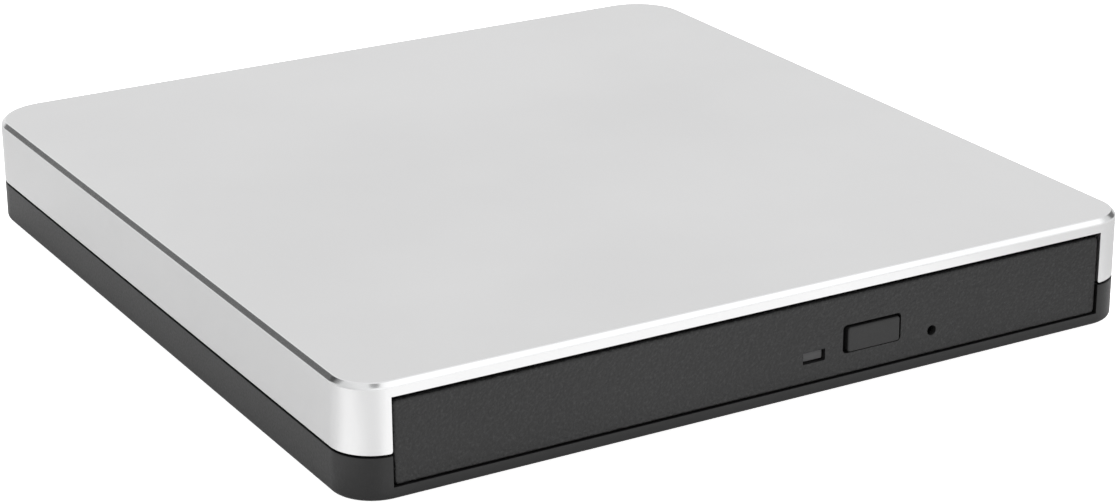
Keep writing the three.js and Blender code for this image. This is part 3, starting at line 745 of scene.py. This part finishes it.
def make_button():
    """The button's cap in its hole, the flange that holds it behind the plate, and its stem."""
    face, back = button_low.y, button_high.y
    flange_front = bezel_low.y + BEZEL_PLATE + 0.2 * MM
    flange_back = flange_front + BUTTON_FLANGE
    rings = [front_ring(*BUTTON_CAP, BUTTON_CAP_CORNER, inset, face + drop)
             for inset, drop in quarter_round(BUTTON_EDGE)[::-1]]
    rings.append(front_ring(*BUTTON_CAP, BUTTON_CAP_CORNER, 0, flange_front))
    rings += [front_ring(button_low, button_high, 0.3 * MM, 0, depth)
              for depth in (flange_front, flange_back)]
    rings += [front_ring(*BUTTON_STEM, 0.2 * MM, 0, depth) for depth in (flange_back, back)]
    button = soften(loft("eject_button_cap", rings), 0.05 * MM)
    return dress(button, "button", button_plastic, "eject_button", slot="button_plastic")


def make_led_window():
    """The front end of the clear light pipe."""
    corner, edge = 0.2 * MM, 0.15 * MM
    rings = [front_ring(led_low, led_high, corner, edge, led_low.y)]
    rings += [front_ring(led_low, led_high, corner, 0, depth) for depth in (led_low.y + edge, led_high.y)]
    window = soften(loft("led_window", rings), 0.03 * MM)
    return dress(window, "tray", window_plastic, "led_lens", slot="clear_plastic")


# ---------------------------------------------------------------- tray and what it carries


def from_traverse(obj):
    """Turns a solid drawn along the feed direction to where the traverse stands in the tray."""
    obj.data.transform(Matrix.Translation(SPINDLE) @ Matrix.Rotation(FEED_ANGLE, 4, "Z"))
    return obj


def deck_solid():
    """The tray's flat deck with rounded edges."""
    rises = [(inset, DECK_BOTTOM + drop) for inset, drop in quarter_round(DECK_EDGE)[::-1]]
    rises += [(inset, tray_high.z - drop) for inset, drop in quarter_round(DECK_EDGE)]
    rings = []
    for inset, height in rises:
        points = outline(tray_low, tray_high, MM, 7 * MM, inset)
        rings.append([(x, y, height) for x, y in points])
    return loft("tray_deck", rings)


def pillar(name, place, radius, bottom, top):
    """An upright round bar."""
    return round_bar(name, (*place, (bottom + top) / 2), (0, 0, 1), radius, top - bottom)


def rounded_slab(name, low, high, radius, bottom, top):
    """An upright prism on a rectangle with rounded corners."""
    points = outline(low, high, radius, radius)
    return loft(name, [[(x, y, z) for x, y in points] for z in (bottom, top)])


def dished(name, centre, radius, floor, rim, sides=192):
    """A round cutter with a small round at its floor and a flare at the rim."""
    soft, flare = 0.3 * MM, 0.25 * MM
    profile = [(radius - soft + soft * math.sin(a), floor + soft * (1 - math.cos(a)))
               for a in [math.pi / 2 * step / 4 for step in range(5)]]
    profile += [(radius, rim - flare), (radius + flare, rim), (radius + flare, rim + 2 * MM)]
    angles = [2 * math.pi * i / sides for i in range(sides)]
    return loft(name, [
        [(centre.x + reach * math.cos(a), centre.y + reach * math.sin(a), height) for a in angles]
        for reach, height in profile
    ])


def make_tray():
    """The deck with its disc recesses, hand scoops and optics opening, its skirts and its bosses."""
    top = tray_high.z
    tray = deck_solid()
    cutters = [dished("well", SPINDLE, DISC_WELL_RADIUS, WELL_FLOOR, top)]
    for across, along in ((1, -1), (-1, -1), (-1, 1), (1, 1)):
        centre = SPINDLE + Vector((across, along, 0)) * SCOOP_REACH
        cutters.append(dished("scoop", centre, SCOOP_RADIUS, WELL_FLOOR - 0.2 * MM, top))
    small_floor, small_rim = WELL_FLOOR - 0.5 * MM, WELL_FLOOR + 0.25 * MM
    cutters.append(dished("small_well", SPINDLE, SMALL_DISC_RADIUS, small_floor, small_rim))
    opening = rounded_slab("opening", *OPTICS_OPENING, OPTICS_CORNER, DECK_BOTTOM - MM, top + MM)
    cutters.append(from_traverse(opening))
    carve(tray, cutters)
    sunk = DECK_BOTTOM + ROOT
    additions = []
    for side in (-1, 1):
        for name, reach, along, rise in (("skirt", SKIRT_X, SKIRT_Y, (SKIRT_BOTTOM, sunk)),
                                         ("flange", FLANGE_X, FLANGE_Y, FLANGE_Z)):
            across = sorted(side * x for x in reach)
            additions.append(block(name, *zip(across, along, rise)))
    additions.append(block("plunger_stop", *PLUNGER_STOP))
    additions.append(pillar("latch_pin", LATCH_PIN, LATCH_PIN_RADIUS, LATCH_PIN_BOTTOM, sunk))
    for place in TRAVERSE_BOSSES:
        boss = pillar("boss", place, BOSS_RADIUS, BOSS_BOTTOM, sunk)
        bore = pillar("bore", place, BOSS_BORE_RADIUS, BOSS_BOTTOM - 0.15 * MM, BOSS_BORE_TOP)
        additions.append(from_traverse(carve(boss, [bore])))
    carve(tray, additions, "UNION")
    soften(tray, 0.1 * MM)
    return dress(tray, "tray", tray_plastic, "tray", slot="tray_plastic")


def make_spindle():
    """The rotor with its rounded hub and claw pockets, and the rubber pad that the disc rests on."""
    soft = 0.25 * MM
    top = spindle_high.z
    motor = ((0, 6.7), (9.8, 6.7), (10, 6.9), (10, 9.1), (9.8, 9.3), (5, 9.6), (5, 10))
    table = ((12.3, 10), (12.5, 10.2), (12.5, 11.4), (12.3, 11.6))
    profile = [(radius * MM, height * MM) for radius, height in motor + table]
    profile += [(HUB_RADIUS, 11.6 * MM), (HUB_RADIUS, 13.4 * MM)]
    turn = [math.pi / 2 * step / 6 for step in range(1, 7)]
    profile += [(HUB_RADIUS - HUB_SHOULDER * (1 - math.cos(a)), top - MM + MM * math.sin(a)) for a in turn]
    profile += [(HUB_DISH_RADIUS, top), (HUB_DISH_RADIUS - soft, top - soft)]
    profile += [(HUB_DISH_RADIUS - 0.3 * MM, top - HUB_DISH_DEPTH), (0, top - HUB_DISH_DEPTH)]
    rotor = turned("spindle_hub", SPINDLE, profile)
    pockets = []
    for node in sorted(frame["nodes"]):
        if node.startswith("clamp_claw_"):
            low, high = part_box(node)
            spoke = ((low + high) / 2 - SPINDLE).to_2d()
            pocket = block("pocket", *CLAW_POCKET)
            bearing = Matrix.Rotation(math.atan2(spoke.y, spoke.x), 4, "Z")
            pocket.data.transform(Matrix.Translation(SPINDLE) @ bearing)
            pockets.append(pocket)
    carve(rotor, pockets)
    dress(soften(rotor, 0.06 * MM), "rotor", cast_zinc, "spindle_rotor", slot="cast_zinc")
    make_turntable_pad()


def make_turntable_pad():
    """A rubber ring with fine round ribs."""
    low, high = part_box("turntable_ring")
    outside = (high.x - low.x) / 2
    profile = [(PAD_INSIDE, low.z), (outside, low.z), (outside, high.z - PAD_RIB_DEPTH)]
    steps = PAD_RIBS * 4
    for step in range(steps + 1):
        share = step / steps
        rise = 0.5 + 0.5 * math.cos(2 * math.pi * PAD_RIBS * share)
        profile.append((outside + (PAD_INSIDE - outside) * share, high.z - PAD_RIB_DEPTH * rise))
    profile.append(profile[0])
    pad = turned("turntable_pad", SPINDLE, profile)
    pad.data.shade_smooth()
    dress(pad, "rotor", foot_rubber, "turntable_ring", slot="soft_rubber")


def make_traverse_cover():
    """The thin plate round the spindle, slotted for the lens."""
    low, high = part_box("traverse_cover")
    cover = rounded_slab("traverse_plate", *COVER_PLATE, COVER_PLATE_CORNER, low.z, high.z)
    slot = rounded_slab("lens_slot", *LENS_SLOT, LENS_SLOT_CORNER, low.z - MM, high.z + MM)
    place = (SPINDLE.x, SPINDLE.y, low.z)
    hole = round_bar("spindle_hole", place, (0, 0, 1), SPINDLE_HOLE_RADIUS, 4 * MM, 128)
    carve(from_traverse(cover), [hole, from_traverse(slot)])
    return dress(soften(cover, 0.06 * MM), "tray", drive_sheet, "traverse_cover", slot="drive_sheet")


def make_lens():
    """A flat-backed lens with a domed front."""
    low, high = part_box("objective_lens")
    centre = Vector(((low.x + high.x) / 2, (low.y + high.y) / 2, 0))
    radius, shoulder = 2 * MM, low.z + 0.35 * MM
    profile = [(0, low.z), (radius, low.z)]
    profile += [(radius * math.cos(a), shoulder + (high.z - shoulder) * math.sin(a))
                for a in [math.pi / 2 * step / 16 for step in range(17)]]
    lens = turned("objective_lens_glass", centre, profile, 64)
    lens.data.shade_smooth()
    return dress(lens, "lens", lens_glass, "objective_lens", slot="lens_glass")


def make_lead_screw():
    """A bar with one rounded helical groove, thinner where it runs in its bearing."""
    sides = 24
    steps = round((FEED_SCREW_SHOULDER - FEED_SCREW_START) / (0.25 * MM))

    def ring(y, radius, groove):
        points = []
        for side in range(sides):
            turn = side / sides
            angle = 2 * math.pi * turn
            wave = 0.5 + 0.5 * math.cos(2 * math.pi * (turn - y / FEED_SCREW_LEAD))
            reach = radius - groove * wave ** 2
            across = FEED_SCREW_ACROSS + reach * math.cos(angle)
            points.append((across, y, FEED_SCREW_HEIGHT + reach * math.sin(angle)))
        return points

    rings = []
    for step in range(steps + 1):
        y = FEED_SCREW_START + (FEED_SCREW_SHOULDER - FEED_SCREW_START) * step / steps
        rings.append(ring(y, FEED_SCREW_RADIUS, FEED_SCREW_GROOVE))
    rings += [ring(y, FEED_SCREW_TIP_RADIUS, 0) for y in (FEED_SCREW_SHOULDER, FEED_SCREW_END)]
    screw = from_traverse(loft("lead_screw_thread", rings))
    screw.data.shade_smooth()
    screw.data.set_sharp_from_angle(angle=math.radians(60))
    return dress(screw, "feed_screw", screw_brass, "lead_screw", slot="screw_brass")


def make_ribbon():
    """The flat cable: it lies on the drive's floor, folds back and is stuck under the tray."""
    low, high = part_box("flex_cable")
    level = (low.z + high.z) / 2
    flat = high.y - low.y
    path = [(high.y - flat * step / 40, level, 0.0) for step in range(41)]
    for step in range(1, 25):
        angle = math.pi * step / 24
        rise = RIBBON_FOLD * (1 - math.cos(angle))
        path.append((low.y - RIBBON_FOLD * math.sin(angle), level + rise, angle))
    path += [(low.y + RIBBON_STUCK * step / 8, level + 2 * RIBBON_FOLD, math.pi) for step in range(1, 9)]
    rings = []
    for y, z, angle in path:
        ring = []
        for x, side in ((low.x, -1), (high.x, -1), (high.x, 1), (low.x, 1)):
            offset = side * RIBBON_THICKNESS / 2
            ring.append((x, y + offset * math.sin(angle), z + offset * math.cos(angle)))
        rings.append(ring)
    ribbon = loft("flex_ribbon", rings)
    ribbon.data.materials.append(flex_film)
    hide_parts("flex_cable")
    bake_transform(ribbon)


def make_eject_spring():
    """The coil behind the plunger."""
    low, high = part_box("eject_spring")
    centre = (low + high) / 2
    per_turn, sides = 32, 8
    steps = SPRING_TURNS * per_turn
    radius = (high.x - low.x) / 2 - SPRING_WIRE
    front, rear = low.y + SPRING_WIRE, high.y - SPRING_WIRE
    backward = Vector((0, 1, 0))
    around = [2 * math.pi * side / sides for side in range(sides)]
    rings = []
    for step in range(steps + 1):
        angle = 2 * math.pi * step / per_turn
        spoke = Vector((math.cos(angle), 0, math.sin(angle)))
        middle = Vector((centre.x, front + (rear - front) * step / steps, centre.z)) + spoke * radius
        offsets = [spoke * math.cos(a) + backward * math.sin(a) for a in around]
        rings.append([middle + SPRING_WIRE * offset for offset in offsets])
    spring = loft("eject_spring_coil", rings)
    spring.data.shade_smooth()
    spring.data.materials.append(bright_steel)
    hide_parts("eject_spring")
    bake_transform(spring)


# ---------------------------------------------------------------- inside: CAD nodes that keep their shape


def finish_cad_nodes():
    """Carries over the CAD nodes that still show, with rounded edges and their slot's material."""
    slots = {row["node"]: row["material_slot"] for row in frame["record"]["subparts"]}
    for name, node in frame["nodes"].items():
        if node.hide_render:
            continue
        node.data.materials.clear()
        node.data.materials.append(CAD_FINISHES[slots[name]])
        node.data.shade_smooth()
        node.data.set_sharp_from_angle(angle=math.radians(32))
        rounding = node.modifiers.new("round", "BEVEL")
        rounding.width = 0.08 * MM
        rounding.segments = 2
        rounding.limit_method = "ANGLE"
        rounding.angle_limit = math.radians(40)
        rounding.harden_normals = True


# ---------------------------------------------------------------- stage


def sheet(name, across, along, height):
    """A flat level rectangle."""
    corners = [(across[0], along[0]), (across[1], along[0]), (across[1], along[1]), (across[0], along[1])]
    return new_object(name, [(x, y, height) for x, y in corners], [[0, 1, 2, 3]])


def make_floor():
    """A pale lit table: it shows nearly white, and keeps a faint shadow where the feet stand."""
    floor = sheet("floor", (-6.0, 6.0), (-6.0, 6.0), 0)
    nodes = Nodes("pale_floor")
    nodes.set(Roughness=0.9, Emission_Color=(1, 1, 1, 1))
    seen = nodes.add("ShaderNodeLightPath").outputs["Is Camera Ray"]
    nodes.link(nodes.spread(seen, 0, 1, 0, FLOOR_GLOW), nodes.surface.inputs["Emission Strength"])
    color = nodes.mix(nodes.noise(1.5), (0.84, 0.84, 0.84), (0.86, 0.86, 0.86))
    floor.data.materials.append(nodes.finish(color))


def make_cards():
    """Glowing sheets on the table that show only in what mirrors them."""
    for name, across, along, level in TABLE_CARDS:
        card = sheet(name, [x * MM for x in across], [y * MM for y in along], 0.2 * MM)
        nodes = Nodes(f"{name}_paper")
        nodes.set(Base_Color=(0, 0, 0, 1), Emission_Color=(1, 1, 1, 1))
        glow = nodes.spread(nodes.noise(3.0), 0, 1, level, level * 1.04)
        nodes.link(glow, nodes.surface.inputs["Emission Strength"])
        card.data.materials.append(nodes.material)
        card.visible_camera = False
        card.visible_diffuse = False
        card.visible_shadow = False


def area_light(name, place, target, width, height, power):
    light = bpy.data.lights.new(name, "AREA")
    light.shape = "RECTANGLE"
    light.size = width
    light.size_y = height
    light.energy = power
    lamp = bpy.data.objects.new(name, light)
    lamp.location = place
    lamp.visible_glossy = False
    aim = Vector(target) - Vector(place)
    lamp.rotation_euler = aim.to_track_quat("-Z", "Y").to_euler()
    bpy.context.scene.collection.objects.link(lamp)


def make_world():
    """A white studio, with softer, brighter and darker patches that the metal mirrors."""
    world = bpy.data.worlds.new("studio")
    bpy.context.scene.world = world
    world.use_nodes = True
    tree = world.node_tree
    background = tree.nodes["Background"]
    background.inputs["Color"].default_value = (1, 1, 1, 1)
    place = tree.nodes.new("ShaderNodeTexCoord").outputs["Generated"]
    level = tree.nodes.new("ShaderNodeValue").outputs[0]
    level.default_value = STUDIO_LEVEL
    for name, direction, begin, full, strength in STUDIO_PATCHES:
        towards = tree.nodes.new("ShaderNodeVectorMath")
        towards.operation = "DOT_PRODUCT"
        towards.inputs[1].default_value = Vector(direction).normalized()
        tree.links.new(place, towards.inputs[0])
        patch = tree.nodes.new("ShaderNodeMapRange")
        patch.label = name
        patch.interpolation_type = "SMOOTHSTEP"
        values = (("From Min", begin), ("From Max", full), ("To Min", 1), ("To Max", strength))
        for key, value in values:
            patch.inputs[key].default_value = value
        tree.links.new(towards.outputs["Value"], patch.inputs["Value"])
        both = tree.nodes.new("ShaderNodeMath")
        both.operation = "MULTIPLY"
        tree.links.new(level, both.inputs[0])
        tree.links.new(patch.outputs["Result"], both.inputs[1])
        level = both.outputs["Value"]
    tree.links.new(level, background.inputs["Strength"])


def make_camera():
    back = Vector((
        math.sin(CAMERA_AZIMUTH) * math.cos(CAMERA_ELEVATION),
        -math.cos(CAMERA_AZIMUTH) * math.cos(CAMERA_ELEVATION),
        math.sin(CAMERA_ELEVATION),
    ))
    level_right = (-back).cross(Vector((0, 0, 1))).normalized()
    level_up = level_right.cross(-back)
    right = level_right * math.cos(CAMERA_ROLL) + level_up * math.sin(CAMERA_ROLL)
    up = level_up * math.cos(CAMERA_ROLL) - level_right * math.sin(CAMERA_ROLL)
    middle = Vector((0, 0, base_low.z + 10 * MM))
    place = middle + back * CAMERA_DISTANCE + level_right * CAMERA_ACROSS + level_up * CAMERA_RISE
    data = bpy.data.cameras.new("camera")
    data.lens = CAMERA_LENS
    data.sensor_width = 36
    camera = bpy.data.objects.new("camera", data)
    turn = Matrix((right, up, back)).transposed().to_4x4()
    camera.matrix_world = Matrix.Translation(place) @ turn
    bpy.context.scene.collection.objects.link(camera)
    bpy.context.scene.camera = camera


make_top_cover()
make_base_shell()
make_feet_and_screws()
make_usb_socket()
make_bezel()
make_button()
make_led_window()
make_tray()
make_spindle()
make_traverse_cover()
make_lens()
make_lead_screw()
make_ribbon()
make_eject_spring()
finish_cad_nodes()
make_floor()
make_cards()
make_world()
make_camera()
area_light("overhead", (0, -0.1, 1.2), (0, 0, 0), 1.0, 1.0, 5)
bpy.context.scene.view_settings.view_transform = "Standard"
